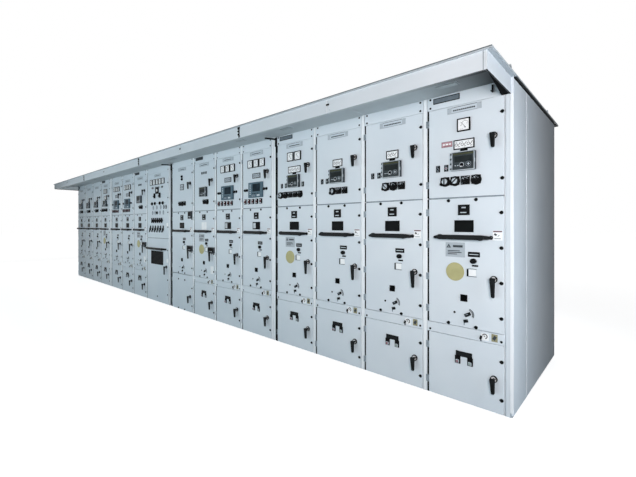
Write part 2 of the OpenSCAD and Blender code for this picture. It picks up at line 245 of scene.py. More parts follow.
mouldings = {
    # glass-filled nylon of handles and rails: a blue-black with a fine pebble
    "handleNylon": ("#0e1214", "#0a0d0f", 0.03, 0.0022, 0.00009, 0.42, 0.58, 0.1),
    # thermoplastic of meter frames, switches and modules: smoother and darker
    "blackPlastic": ("#08090a", "#050607", 0.05, 0.0018, 0.00004, 0.4, 0.55, 0.06),
    # black of the canopy gussets, painted shade standing for the shade in the end caps, and rubber of
    # gaskets and seals
    "matBlack": ("#07090a", "#040506", 0.05, 0.003, 0.00002, 0.6, 0.75, 0.02),
    "rubber": ("#0e1112", "#0a0c0d", 0.04, 0.003, 0.0001, 0.65, 0.82, 0.04),
    # relays: case, screen, face, and the polycarbonate rim in pale grey as it looks edge-on, partly a
    # painted highlight of its clear edges
    "relayCase": ("#31393f", "#292f34", 0.06, 0.002, 0.00004, 0.42, 0.54, 0.2),
    "relayScreen": ("#262c2d", "#1e2425", 0.05, 0.003, 0.00002, 0.3, 0.42, 0.05),
    "relayFace": ("#3a4245", "#30373a", 0.06, 0.002, 0.00004, 0.42, 0.54, 0.1),
    "clearRim": ("#b3bdc3", "#a3aeb5", 0.03, 0.004, 0.00003, 0.2, 0.3, 0.4),
    "slateCase": ("#526a77", "#49606c", 0.07, 0.002, 0.00004, 0.45, 0.6, 0.15),
    "paleKnob": ("#c4d0d8", "#b3c0c9", 0.02, 0.003, 0.00003, 0.3, 0.42, 0.45),
    # white film, engraved plates and labels
    "whiteLabel": ("#eef2f4", "#e5eaed", 0.05, 0.003, 0.00002, 0.35, 0.5, 0.4),
    "plateInsert": ("#c6d1d9", "#c0cbd3", 0.05, 0.003, 0.00002, 0.35, 0.5, 0.15),
    "dullPlate": ("#6c777f", "#626d75", 0.04, 0.003, 0.00002, 0.4, 0.55, 0.15),
    "capRed": ("#5c2c33", "#4d242b", 0.02, 0.002, 0.00003, 0.35, 0.5, 0.2),
    "roseDark": ("#5f3d46", "#54353d", 0.03, 0.003, 0.00002, 0.4, 0.55, 0.3),
    "greyLabel": ("#b3bdc5", "#a9b4bc", 0.05, 0.003, 0.00002, 0.35, 0.5, 0.3),
    "roseLabel": ("#b18a92", "#a67f88", 0.03, 0.003, 0.00002, 0.4, 0.55, 0.4),
    "khakiLabel": ("#8f8c6c", "#7d7b60", 0.02, 0.003, 0.00002, 0.4, 0.55, 0.4),
    "oliveDisc": ("#aaa777", "#a19e6e", 0.06, 0.004, 0.00003, 0.4, 0.55, 0.4),
    # card inside the meters, ink of its scale, and the opal cover of the canopy lights
    "dialCard": ("#f1f4f5", "#e9edef", 0.03, 0.003, 0.00001, 0.5, 0.6, 0.3),
    "dialInk": ("#2a2f33", "#22272a", 0.02, 0.003, 0.00001, 0.5, 0.6, 0.3),
    "paleInk": ("#87939c", "#7a868f", 0.02, 0.003, 0.00001, 0.5, 0.6, 0.3),
    "opalCover": ("#a4b0b4", "#98a4a8", 0.05, 0.005, 0.00003, 0.35, 0.45, 0.4),
    # smoked panes in front of dark interiors: near-black gloss with faint waviness
    "windowGlass": ("#050708", "#030404", 0.08, 0.03, 0.00006, 0.16, 0.24, 0.02),
    "screenGlass": ("#26343d", "#1c2830", 0.08, 0.03, 0.00006, 0.16, 0.24, 0.02),
    "olivePane": ("#4b503e", "#414638", 0.08, 0.03, 0.00006, 0.16, 0.24, 0.02),
    # lamp lenses: coloured acrylic over a dark cup
    "redLens": ("#8a5a64", "#6f434d", 0.012, 0.003, 0.00008, 0.12, 0.25, 0.5, {"Coat Weight": 0.3}),
    "greenLens": ("#98a8a2", "#7f918a", 0.012, 0.003, 0.00008, 0.12, 0.25, 0.5, {"Coat Weight": 0.3}),
}
for name, values in sheets.items():
    parts = plainFinish(name, *values)
    if name == "hoodPaint":
        paintHoodShade(*parts)
    elif name == "roofPaint":
        paintRoofShade(*parts)
        finishZincSheet()
finishBrushed()
for name, values in mouldings.items():
    plainFinish(name, *values)
finishNames = list(finishes)
# those of most small parts, in short
black, nylon, dark = "blackPlastic", "handleNylon", "relayCase"
grey, white, ink = "greyLabel", "whiteLabel", "paleInk"
print("finishes made:", len(finishNames))


# ---- shapes on a front plane: x right, y into the body, z up ----


def newFaces(mesh, before):
    return [face for face in mesh.faces if face not in before]


def paint(faces, skin):
    for face in faces:
        face.material_index = finishNames.index(skin)


def roundOff(mesh, edges, radius, segments=2, isSmooth=False):
    rounded = bmesh.ops.bevel(mesh, geom=list(dict.fromkeys(edges)), offset=radius, offset_type="OFFSET",
                              affect="EDGES", segments=segments, profile=0.5, material=-1)
    for face in rounded["faces"] if isSmooth else ():
        face.smooth = True


def block(mesh, centre, size, skin, edge=0.0, segments=2, turn=0.0, tilt=0.0):
    # a bevelled block, turned about the axis out of the door and tilted about the level one
    before = set(mesh.faces)
    place = (Matrix.Translation(centre) @ Matrix.Rotation(math.radians(turn), 4, "Y")
             @ Matrix.Rotation(math.radians(tilt), 4, "X") @ Matrix.Diagonal((*size, 1.0)))
    verts = bmesh.ops.create_cube(mesh, size=1.0, matrix=place)["verts"]
    paint(newFaces(mesh, before), skin)
    if edge:
        roundOff(mesh, [e for v in verts for e in v.link_edges], edge, segments, True)
    return newFaces(mesh, before)


def box(mesh, xs, ys, zs, skin, edge=0.0, segments=2):
    # a block between limits
    limits = (xs, ys, zs)
    return block(mesh, [(low + high) / 2 for low, high in limits], [high - low for low, high in limits],
                 skin, edge, segments)


def plate(mesh, x, z, wide, high, proud, skin, lift=0.0, edge=0.0, turn=0.0, segments=2):
    # a block on the front plane at a place in metres, with its measures in millimetres
    return block(mesh, (x, -(lift + proud / 2) / 1000, z), (wide / 1000, proud / 1000, high / 1000), skin,
                 edge / 1000, segments, turn)


def disc(mesh, x, z, radius, proud, skin, lift=0.0, edge=0.0, sides=24, tip=None, stretch=(1, 1)):
    # a round or oval boss in the same way; tip is its outer radius where it tapers
    before = set(mesh.faces)
    place = (Matrix.Translation((x, -(lift + proud / 2) / 1000, z))
             @ Matrix.Diagonal((stretch[0], 1, stretch[1], 1)) @ Matrix.Rotation(math.pi / 2, 4, "X"))
    bmesh.ops.create_cone(mesh, cap_ends=True, segments=sides, radius1=radius / 1000,
                          radius2=(tip or radius) / 1000, depth=proud / 1000, matrix=place)
    made = newFaces(mesh, before)
    paint(made, skin)
    for face in made:
        face.smooth = len(face.verts) == 4
    if edge:
        roundOff(mesh, outermost(made).edges, edge / 1000)
    return newFaces(mesh, before)


def outermost(faces, way=-1):
    # the largest face that looks out of the door, or into it
    for face in faces:
        face.normal_update()
    return max((f for f in faces if f.normal.y * way > 0.98), key=lambda f: f.calc_area())


def sink(mesh, faces, rim, depth, skin=None, slope=0.4, way=-1):
    # leaves a rim round the outermost face and lets the rest in, in millimetres
    face = outermost(faces, way)
    bmesh.ops.inset_individual(mesh, faces=[face], thickness=rim / 1000, depth=0.0)
    bmesh.ops.inset_individual(mesh, faces=[face], thickness=slope / 1000, depth=-depth / 1000)
    if skin:
        paint([face], skin)


stamps = {}     # name of a small part to the mesh that is copied for it


def keepStamp(name, mesh):
    stamps[name] = bpy.data.meshes.new("template")
    mesh.to_mesh(stamps[name])
    mesh.free()


def stamp(mesh, name, x, z, y=0.0):
    copy = stamps[name].copy()
    copy.transform(Matrix.Translation((x, y / 1000, z)))
    mesh.from_mesh(copy)
    bpy.data.meshes.remove(copy)


def fit(mesh, rows, x=0.0, z=0.0):
    # Adds rows of shapes round a point, in millimetres and degrees, and a row names what it is:
    # a plate: x, z, wide, high, proud, skin, lift, edge, turn, segments
    # "disc", x, z, radius, proud, skin, lift, edge, sides, tip, stretch
    # "sink", rim, depth, skin, which lets in the shape before it
    # a stamp: its name, x, z, y
    for row in rows:
        kind, values = (row[0], row[1:]) if isinstance(row[0], str) else ("plate", row)
        if kind == "sink":
            sink(mesh, made, *values)
            continue
        place = (x + values[0] / 1000, z + values[1] / 1000)
        if kind in stamps:
            stamp(mesh, kind, *place, *values[2:])
        else:
            made = (disc if kind == "disc" else plate)(mesh, *place, *values[2:])


def fitStamp(name, rows):
    mesh = bmesh.new()
    fit(mesh, rows)
    keepStamp(name, mesh)


def corners(name, x, z, wide, high, *more):
    # rows for four stamps at the corners of a rectangle
    return [(name, x + dx, z + dz, *more) for dx in (-wide, wide) for dz in (-high, high)]


def arc(x, z, radius, degrees, *stroke):
    # rows for strokes along an arc, each turned with it
    return [(x + radius * math.cos(math.radians(d)), z + radius * math.sin(math.radians(d)), *stroke, -d)
            for d in degrees]


def settle(mesh, name, standsFor=None, body="carcass", plane=frontY):
    # makes the finished piece, with its place in its mesh and only the finishes it uses
    bmesh.ops.translate(mesh, verts=mesh.verts, vec=(0.0, plane, 0.0))
    used = sorted({face.material_index for face in mesh.faces})
    for face in mesh.faces:
        face.material_index = used.index(face.material_index)
    data = bpy.data.meshes.new(name)
    mesh.to_mesh(data)
    mesh.free()
    for index in used:
        data.materials.append(finishes[finishNames[index]])
    piece = bpy.data.objects.new(name, data)
    bpy.context.scene.collection.objects.link(piece)
    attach(piece, body)
    if standsFor:
        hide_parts(standsFor)


# ---- small hardware, made once and stamped many times ----

fitStamp("latch", [
    ("disc", 0, 0, 12.5, 3.5, nylon, 0, 1, 20),
    (-8.2, 0, 12.5, 12.5, 3.1, nylon, 0, 0.8, 45),
    ("disc", 0, 0, 8.5, 2, black, 3.5, 0.6, 16),
    (0, 0, 12, 3.5, 1.2, nylon, 5.5, 0, 35)])
fitStamp("smallScrew", [("disc", 0, 0, 3, 2.2, "zincPlate", 0, 0, 10, 2.4)])
screws = {"darkScrew": (6.2, 8.8, black), "hexBolt": (6.5, 9.5, "zincPlate")}
for name, (radius, washer, skin) in screws.items():
    fitStamp(name, [("disc", 0, 0, washer, 1, skin, 0, 0, 14),
                    ("disc", 0, 0, radius, 2.2, skin, 1, 0, 10, radius * 0.8)])

hinge = {"height": 0.026, "radius": 0.005, "gap": 0.001, "leaf": 0.003, "inset": 0.102, "face": 0.012}


def hingeHeights(foot, top, count):
    first, last = foot + hinge["inset"], top - hinge["inset"]
    return [first + (last - first) * k / (count - 1) for k in range(count)]


def hingeHalf(name, leafX):
    # a knuckle on the pivot line with its leaf: to the right for the door, to the left for the post
    mesh = bmesh.new()
    height, radius = hinge["height"], hinge["radius"]
    bmesh.ops.create_cone(mesh, cap_ends=True, segments=16, radius1=radius, radius2=radius, depth=height,
                          matrix=Matrix.Translation((0, 0, height / 2)))
    for face in mesh.faces:
        face.smooth = len(face.verts) == 4
    roundOff(mesh, [e for f in mesh.faces if len(f.verts) > 4 for e in f.edges], 0.0008, 1)
    paint(mesh.faces, "hingeSteel")
    box(mesh, leafX, (0, hinge["leaf"]), (0, height), "hingeSteel", 0.0006, 1)
    if leafX[0] < 0:
        # the leaf on the face of the post is as tall as both knuckles
        outer = -radius - 0.0005
        box(mesh, (outer - hinge["face"], outer), (-0.0028, 0.0004), (0, 2 * height + hinge["gap"]),
            "hingeSteel", 0.0008)
    keepStamp(name, mesh)


hingeHalf("doorHinge", (0, 0.0075))
hingeHalf("postHinge", (-0.016, 0))
print("hardware ready")


# ---- swing handles and grab rails ----

swing = {"inset": 0.110, "reach": 0.050, "width": 0.036, "foot": 0.022, "thick": 0.014, "above": 0.014}
swingLengths = {"instrument": 0.104, "breaker": 0.137, "cable": 0.106}


def swingHandle(name, length):
    # a lever that hangs from its spindle, over a collar with a pale lock disc in it
    mesh = bmesh.new()
    fit(mesh, [("disc", 0, 0, 24, 11, nylon, 0, 1.5, 32), ("sink", 4.5, 6, white),
               (9.5, 2, 5, 22, 4, nylon, 4.5, 1, 38),
               ("disc", 0, 0, 8, 32, nylon, 4, 0, 20)])
    middle, front = swing["above"] - length / 2, -swing["reach"]
    before = set(mesh.faces)
    lever = block(mesh, (0, front + swing["thick"] / 2, middle), (swing["width"], swing["thick"], length),
                  nylon)
    for vert in {v for f in lever for v in f.verts if v.co.z < middle}:
        vert.co.x = vert.co.x * swing["foot"] / swing["width"] + 0.004
        vert.co.y += 0.003 if vert.co.y < front + swing["thick"] / 2 else 0.0
    upright = [e for f in lever for e in f.edges
               if abs(e.verts[0].co.y - e.verts[1].co.y) > swing["thick"] / 2]
    roundOff(mesh, upright, 0.009, 4)
    lever = newFaces(mesh, before)
    for face in lever:
        face.smooth = face.calc_area() < 0.0003
    face = min((f for f in lever if len(f.verts) > 8), key=lambda f: f.calc_center_median().y)
    roundOff(mesh, face.edges, 0.0018)
    # a shallow grip groove down the lever
    plate(mesh, 0, middle - 0.006, 12, length * 620, 1.2, black, 47.8, 0.5)
    keepStamp(name + "Handle", mesh)


for name, length in swingLengths.items():
    swingHandle(name, length)

rail = {"fromRight": 0.130, "fromLeft": 0.066, "reach": 0.060, "height": 0.035, "thick": 0.022,
        "slope": 0.052}


def grabRail(mesh, cubicle, z):
    # a flat bow: a straight middle, ends that slope back to the door, and oval feet
    right, left = cubicle.side - rail["fromRight"], cubicle.edge + rail["fromLeft"]
    slope, reach, half = rail["slope"], rail["reach"], rail["height"] / 2
    before = set(mesh.faces)
    bar = box(mesh, (left + slope, right - slope), (-reach, rail["thick"] - reach), (z - half, z + half),
              nylon)
    for side in (-1, 1):
        end = next(f for f in bar if f.is_valid and f.normal.x * side > 0.9)
        out = bmesh.ops.extrude_face_region(mesh, geom=[end])["geom"]
        verts = [v for v in out if isinstance(v, bmesh.types.BMVert)]
        bmesh.ops.translate(mesh, verts=verts, vec=(side * (slope - 0.012), 0.026, 0))
        for vert in verts:
            vert.co.z = z + (vert.co.z - z) * 0.62
        bmesh.ops.delete(mesh, geom=[end], context="FACES_ONLY")
    roundOff(mesh, [e for f in newFaces(mesh, before) for e in f.edges], 0.004, 3, True)
    for side, tip in ((-1, left), (1, right)):
        # foot, shoulder and screw
        fit(mesh, [("disc", -18 * side, -2, 17, 34, nylon, 0, 4, 24, None, (1.35, 0.72)),
                   ("disc", -56 * side, -2 * side, 19.5, 23, nylon, 38, 4, 24, None, (1.25, 1)),
                   ("disc", -26 * side, 0, 5.5, 3, "zincPlate", 34, 0.8, 6)], tip, z)
    fit(mesh, [("disc", 1, 0, 13.5, 10, nylon, 0, 1, 20), ("sink", 5.5, 6, grey)], right, z)


print("handles ready")


# ---- jointed doors ----

doorPan = {"flange": 0.022, "recess": 0.020, "gasket": 0.008, "gasketThick": 0.004}


def doorPanel(mesh, cubicle, foot, top):
    # a folded pan: a flat front with rounded folds, open at the back inside its flanges
    left, right = cubicle.left, cubicle.right
    faces = box(mesh, (left, right), (0, doorThick), (foot, top), "doorPaint", 0.0025, 3)
    sink(mesh, faces, doorPan["flange"] * 1000, doorPan["recess"] * 1000, slope=1, way=1)
    near, far = doorPan["flange"] / 2 - doorPan["gasket"] / 2, doorPan["flange"] / 2 + doorPan["gasket"] / 2
    depth = (doorThick, doorThick + doorPan["gasketThick"])
    for x in (left + near, right - far):
        box(mesh, (x, x + doorPan["gasket"]), depth, (foot + near, top - near), "rubber")
    for z in (foot + near, top - far):
        box(mesh, (left + far, right - far), depth, (z, z + doorPan["gasket"]), "rubber")
    # two upright stiffeners inside the pan
    for share in (0.25, 0.75):
        x = left + share * (right - left)
        box(mesh, (x - 0.0225, x + 0.0225), (0.005, 0.019), (foot + 0.06, top - 0.06), "doorPaint", 0.002)


def hangDoor(cubicle, body, span, railZ, handle, handleRise, fittings):
    foot, top, hinges = span
    mesh = bmesh.new()
    doorPanel(mesh, cubicle, foot, top)
    for z in hingeHeights(foot, top, hinges):
        stamp(mesh, "doorHinge", cubicle.pivot, z)
    settle(mesh, body + "_panel", body, body)
    if railZ:
        mesh = bmesh.new()
        grabRail(mesh, cubicle, railZ)
        settle(mesh, body + "_rail", body, body)
    mesh = bmesh.new()
    stamp(mesh, handle + "Handle", cubicle.side - swing["inset"], foot + handleRise)
    settle(mesh, body + "_handle", body, body)
    mesh = bmesh.new()
    for rows, x, z in fittings:
        fit(mesh, rows, x, z)
    settle(mesh, body + "_fittings", body=body)


# Fittings of a breaker door, from its middle and foot
breakerMid = [
    ("latch", -115, 14), ("latch", 86, 14),
    # operation counter with two slim pale windows
    (0, 859, 84, 77, 8, black, 0, 1.5), ("sink", 5, 1.5), (0, 876, 30, 9, 1.5, grey, 6.3),
    (-2, 840, 44, 7, 1.5, "paleKnob", 6.3),
    # engraved plate, shutter knob and its plate
    (71, 536, 84, 36, 2, black, 0, 0.6), (71, 536, 62, 6, 0.5, grey, 2),
    ("disc", 68, 488, 19, 14, black, 0, 2, 24, None, (1.2, 1)), ("sink", 4, 2),
    (65, 488, 5, 26, 6, nylon, 12.5, 1, 40),
    (79, 455, 44, 13, 2, black, 0, 0.5),
    # position flag
    (57, 404, 70, 58, 1.5, "plateInsert", 0, 0.5), (61, 404, 52, 46, 0.8, white, 1.3, 0.4),
    (27, 403, 12, 56, 3, black, 0, 0.6), (61, 431, 58, 3.2, 2, dark),
    (61, 376, 58, 3.6, 2, dark),
    # inspection port
    (0, 214, 50, 50, 6, black, 0, 1.2), ("sink", 5, 2, "windowGlass"),
    ("smallScrew", -36, 214), ("smallScrew", 36, 214), ("darkScrew", -70, 100),
    # an oblong turning cover over the key hole, with a two-line arc scale at its right
    ("disc", 29, 98, 13, 4, "zincPlate", 0, 1), (29, 98, 47, 24, 10, nylon, 3, 4, -28, 3),
    (25, 99, 20, 4, 1.5, ink, 12.5, 0, -28),
    *arc(29, 98, 33, range(-22, 70, 13), 4.8, 8.25, 0.8, black, 0, 0),
    *arc(29, 98, 41, range(-22, 70, 13), 4.8, 10.25, 0.8, dark, 0, 0),
    # hasp with a short hanging pin
    (14, 48, 32, 22, 8, nylon, 0, 1.5, -15), (2, 32, 6, 28, 5, "hingeSteel", 0, 0.8)]
# from its right side and foot: latches and the instruction label
breakerSide = [
    *(("latch", -61, z) for z in (834, 590, 348, 105)),
    (-86, 676, 63, 68, 1.2, white), (-86, 703, 58, 9, 0.4, "roseDark", 1.2),
    (-100, 682, 18, 13, 0.4, "dialInk", 1.2, 0, 28.65), (-80, 674, 14, 5, 0.4, ink, 1.2, 0, -40.1),
    (-86, 654, 40, 5, 0.4, ink, 1.2)]
# dark pane in a rubber frame, and the pale film over the left half of two of them
window = [(0, 740, 140, 88, 5, "rubber", 0, 2), (0, 740, 122, 70, 1.5, "windowGlass", 4.8, 0.6),
          *corners("smallScrew", 0, 740, 43, 52)]
paleFilm = [(-32, 740, 50, 64, 0.6, "clearRim", 6.2)]
twoLabels = [(x, 735, 60, 105, 1.2, white) for x in (-36, 36)]
# blank sign with a plain triangle and ruled lines, no wording, and the olive inspection disc
dangerSide = [
    (-65, 565, 145, 108, 2, "brushedPlate", 0, 0.6), ("sink", 4, 0.5),
    *corners("smallScrew", -65, 565, 66, 47, -0.5), ("disc", -113, 589, 20, 0.6, dark, 1.4, 0, 3),
    ("disc", -113, 588, 5.5, 0.8, "brushedPlate", 1.8, 0, 3),
    (-75, 557, 92, 6, 0.6, dark, 1.4), (-69, 545, 104, 6, 0.6, dark, 1.4),
    (-86, 533, 70, 6, 0.6, dark, 1.4), (-45, 591, 72, 16, 0.6, dark, 1.4),
    ("disc", -66, 402, 68, 3, "oliveDisc", 0, 1.2, 48), ("sink", 4, 0.6)]


def relayBox(x, z, wide, high):
    # a surface-mounted box with a dark pane
    return [(x, z, wide, high, 22, dark, 0, 3), ("sink", 10, 2, "windowGlass"),
            (x, z - high * 0.24, wide * 0.5, high * 0.12, 1, grey, 20.5)]


def breakerFittings(cubicle):
    tag, mid, side, foot = cubicle.tag, cubicle.mid, cubicle.side, cubicle.foot
    yield [("latch", -115, -15), ("latch", 86, -15)], mid, cubicle.top
    yield breakerMid, mid, foot
    yield breakerSide, side, foot
    yield twoLabels if tag == "07" else window, mid, foot
    if tag in ("05", "06"):
        yield paleFilm, mid, foot
    if tag in brandTags:
        yield dangerSide, mid, foot
    if tag == "08":
        yield relayBox(-100, 896, 105, 110), side, foot
    if tag in ("07", "08", "10"):
        yield relayBox(-112, 401, 150, 80), side, foot
    if tag in ("07", "10"):
        yield [(-105, 126, 75, 105, 1.2, white)], side, foot


def voltageLamp(x, lens):
    return [(x, 308, 40, 58, 7, black, 0, 2), ("disc", x, 326, 10, 6, black, 6, 1, 20),
            (x, 297, 24, 24, 8, grey, 6, 2), (x, 297, 17, 17, 6, lens, 13, 3, 0, 3)]


# engraved plate over two capped lamps
voltageIndicator = [(0, 353, 117, 37, 6, black, 0, 1.2), ("sink", 4, 1, nylon),
                    *voltageLamp(-45, "redLens"), *voltageLamp(45, "greenLens")]


def cableFittings(cubicle):
    foot, top = cubicle.spans[2][:2]
    yield [("latch", -60, 360), ("latch", -60, 98)], cubicle.side, foot
    if cubicle.tag == "08":
        yield [("latch", -115, -79), ("latch", 86, -79)], cubicle.mid, top
        yield [("latch", -115, 14), ("latch", 86, 14)], cubicle.mid, foot
    else:
        yield voltageIndicator, cubicle.mid, foot


# dark filter grille with sloping slats in a raised frame
louvre = {"wide": 0.452, "high": 0.227, "slats": 9, "border": 0.022}
mesh = bmesh.new()
fit(mesh, [(0, 0, louvre["wide"] * 1000, louvre["high"] * 1000, 12, black, 0, 3),
           ("sink", 16, 9, "rubber")])
step = (louvre["high"] - 2 * louvre["border"]) / louvre["slats"]
for k in range(louvre["slats"]):
    z = louvre["border"] + step * (k + 0.5) - louvre["high"] / 2
    block(mesh, (0, -0.0065, z), (louvre["wide"] - 0.036, 0.002, step * 0.8), nylon, tilt=35)
keepStamp("louvre", mesh)

# fittings of the control door, from its right side and foot
controlSide = [("louvre", -459, 744.5), *(("latch", -70, z) for z in (883, 400, 159)), ("latch", -454, 88),
               (-85, 713, 55, 60, 1.2, white)]
for cubicle in cubicles.values():
    body, foot, spans = cubicle.body, cubicle.foot, cubicle.spans
    if cubicle.isControl:
        hangDoor(cubicle, body, spans[1], cubicle.top - 0.173, "breaker", 0.611,
                 [(controlSide, cubicle.side, foot)])
    else:
        hangDoor(cubicle, body, spans[1], foot + 0.659, "breaker", 0.371, breakerFittings(cubicle))
        hangDoor(cubicle, "cable_door_" + cubicle.tag, spans[2], None, "cable", 0.232,
                 cableFittings(cubicle))
print("doors hung")


# ---- posts, strips and covers of the carcass ----

# white posts between the doors and behind the rear covers
post = {"wide": 0.040, "deep": 0.031, "round": 0.008, "rearCover": 0.019}
mesh = bmesh.new()
heights = (0.012, coverTop)
for cubicle in cubicles.values():
    before = set(mesh.faces)
    box(mesh, (cubicle.side - post["wide"], cubicle.side), (0, post["deep"]), heights,
        "doorPaint" if cubicle.tag == "01" else "framePaint")
    edges = [e for f in newFaces(mesh, before) for e in f.edges
             if abs(e.verts[0].co.z - e.verts[1].co.z) > 1 and e.verts[0].co.y < 0.001]
    roundOff(mesh, edges, post["round"], 5, True)
    # the return that the door shuts against, a little behind the front
    box(mesh, (cubicle.right + 0.002, cubicle.right + 0.006), (0.004, 0.030), heights, "framePaint")
settle(mesh, "front_posts", "frame_posts")
mesh = bmesh.new()
rear = rearY - post["rearCover"]
lefts = [cubicle.side - post["wide"] for cubicle in cubicles.values()]
for x in lefts + [cubicles[tag].edge for tag in ("04", "08", "12", "16")]:
    box(mesh, (x, x + post["wide"]), (rear - post["wide"], rear), (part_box("base_frame")[1].z, roofLow.z),
        "framePaint", 0.003)
settle(mesh, "rear_posts", "frame_posts", plane=0.0)

# a rubber strip in each hinge gap along every door, with a lip that stops short of the hinges
gapStrip = {"beside": 0.0067, "half": 0.0052, "depths": (0.0056, 0.0300), "lipHalf": 0.0064,
            "lipDepths": (0.0014, 0.0094), "clear": 0.003}
mesh = bmesh.new()
reach, half, lip = hinge["height"] + gapStrip["clear"], gapStrip["half"], gapStrip["lipHalf"]
for cubicle in cubicles.values():
    x = cubicle.left - gapStrip["beside"]
    for foot, top, count in cubicle.spans:
        box(mesh, (x - half, x + half), gapStrip["depths"], (foot, top), "rubber", 0.001)
        stops = [z + k * reach for z in hingeHeights(foot, top, count) for k in (-1, 1)]
        for low, high in zip([foot, *stops[1::2]], [*stops[0::2], top]):
            box(mesh, (x - lip, x + lip), gapStrip["lipDepths"], (low, high), "rubber", 0.0005)
    # painted shade: a grey strip in the level gap under the instrument door, standing for the shade in the
    # gap
    box(mesh, (cubicle.left + 0.002, cubicle.right - 0.002), (0.004, 0.024),
        (cubicle.top + 0.0004, cubicle.top + 0.0096), ink, 0.001)
settle(mesh, "hinge_gap_strips")

# shipping joints: a black cover strip beside the hinge gap, with the bent strap of the roof above it
jointStrips = {"04": (0.0095, 0.0210), "08": (0.0158, 0.0336)}      # shift to the left, and width
mesh = bmesh.new()
top = lightHigh.z - 0.010
for tag, (shift, wide) in jointStrips.items():
    x = cubicles[tag].edge - shift
    box(mesh, (x - wide / 2, x + wide / 2), (-0.0036, 0.0010), (0.030, top), "rubber", 0.0008)
    box(mesh, (x - 0.011, x + 0.011), (-0.015, -0.001), (top - 0.100, top), nylon, 0.002)
    block(mesh, (x, -0.08671, top - 0.02454), (0.020, 0.150, 0.016), nylon, 0.002, tilt=5)
settle(mesh, "section_joint_strips")

# the posts' halves of the hinges, just under the doors' halves, and the instrument doors' hinges
mesh = bmesh.new()
for cubicle in cubicles.values():
    for foot, top, count in cubicle.spans:
        for z in hingeHeights(foot, top, count):
            stamp(mesh, "postHinge", cubicle.pivot, z - hinge["height"] - hinge["gap"])
            if top == doorTop:
                stamp(mesh, "doorHinge", cubicle.pivot, z)
settle(mesh, "hinge_knuckles", "frame_posts")

# panels that run on past their frames by the skirt, and the bolts on both sides of each boundary
panel = {"beyond": 0.005, "thick": 0.031, "skirt": 0.008, "stripSkirt": 0.003, "edge": 0.002}
bolt = {"right": 0.062, "left": 0.023, "stripLeft": 0.022}
mesh, bolts = bmesh.new(), bmesh.new()
for cubicle in cubicles.values():
    box(mesh, (cubicle.edge, cubicle.right + panel["beyond"]), (0.001, panel["thick"]),
        (coverFoot - panel["skirt"], coverTop), "doorPaint", panel["edge"])
    for x in (cubicle.side - bolt["right"], cubicle.edge + bolt["left"]):
        fit(bolts, [("darkScrew", 0, 76, 1), ("darkScrew", 0, 10, 1)], x, coverFoot)
settle(mesh, "top_cover_panels", "top_covers")
mesh = bmesh.new()
for tag in stripTags:
    box(mesh, (cubicles[tag].edge, cubicles[tag].right + panel["beyond"]), (0, panel["thick"]),
        (stripFoot - panel["stripSkirt"], stripTop + panel["stripSkirt"]), "doorPaint", panel["edge"])
settle(mesh, "switch_strip_panels", "switch_strips")
settle(bolts, "top_cover_bolts")

# blank plates, two of them brighter
mesh = bmesh.new()
for tag in brandTags:
    fit(mesh, [(-450, 56, 204, 44, 4, black, -1, 1),
               ("sink", 6.5, 1, "dullPlate" if tag in ("01", "04") else dark)],
        cubicles[tag].side, coverFoot)
settle(mesh, "blank_cover_plates")

# lever port with a ring of strokes, khaki label and screws, from the right side and middle of a strip
port = [(-170, 0, 52, 48, 1.2, white, 0, 0.4),
        *arc(-170, 4, 15, range(-60, 151, 30), 5.5, 9.8, 1.5, black, 1, 0),
        (-172, 4, 10, 6, 1.5, black, 1, 0, 30), (-196, -8, 15, 26, 12, nylon, 0, 3, 15),
        (-196, -24, 7, 20, 6, nylon, 0, 1.5), (-106, 4, 40, 52, 1, "khakiLabel"),
        (-106, 4, 20, 30, 0.5, dark, 1, 0, 30)]
mesh = bmesh.new()
for tag in stripTags:
    fit(mesh, port, cubicles[tag].side, (stripFoot + stripTop) / 2)
    stamp(mesh, "darkScrew", cubicles[tag].side - bolt["right"], stripFoot + 0.020)
    stamp(mesh, "darkScrew", cubicles[tag].edge + bolt["stripLeft"], stripFoot + 0.016)
settle(mesh, "strip_fittings")
print("carcass front done")


# ---- instrument doors and what they carry ----

mesh = bmesh.new()
for cubicle in cubicles.values():
    box(mesh, (cubicle.left, cubicle.right), (0, 0.031), cubicle.spans[0][:2], "doorPaint", 0.0025, 3)
settle(mesh, "instrument_door_panels", "instrument_doors")
mesh, latches = bmesh.new(), bmesh.new()
for cubicle in cubicles.values():
    if cubicle.isControl:
        fit(latches, [("latch", -60, z) for z in (-195, -441, -682, -924)], cubicle.side, doorTop)
    else:
        stamp(mesh, "instrumentHandle", cubicle.side - swing["inset"], doorTop - 0.265)
        fit(latches, [("latch", -56, z) for z in (-109, -565)], cubicle.side, doorTop)
settle(mesh, "instrument_swing_handles", "instrument_door_handles")
settle(latches, "instrument_door_latches")

# moving-coil panel meter: frame, dial card, scale arc, needle and the hub cover
meterCounts = {"01": 1, "04": 2, "05": 3, "06": 3, "09": 5, "11": 3, "12": 3, "13": 2}
scale = [(k, math.radians(20 + k * 35 / 3)) for k in range(13)]
fitStamp("meter", [
    (0, 0, 96, 96, 14, black, 0, 2.2), ("sink", 8.5, 3, "dialCard"),
    *((12 - 31.2 * math.cos(a), 52 * math.sin(a) - 24, 2.6, 5 if k % 3 else 8, 0.6, "dialInk", 11, 0,
       math.degrees(a) - 90) for k, a in scale),
    (-4, 2, 2.2, 46, 0.8, "dialInk", 12, 0, -38), ("disc", 12, -20, 4.2, 1.2, "dialInk", 11, 0.4, 16),
    *((x, z, 9, 3, 0.4, ink, 11) for x, z in ((-22, -31), (-8, -31), (26, 6)))])

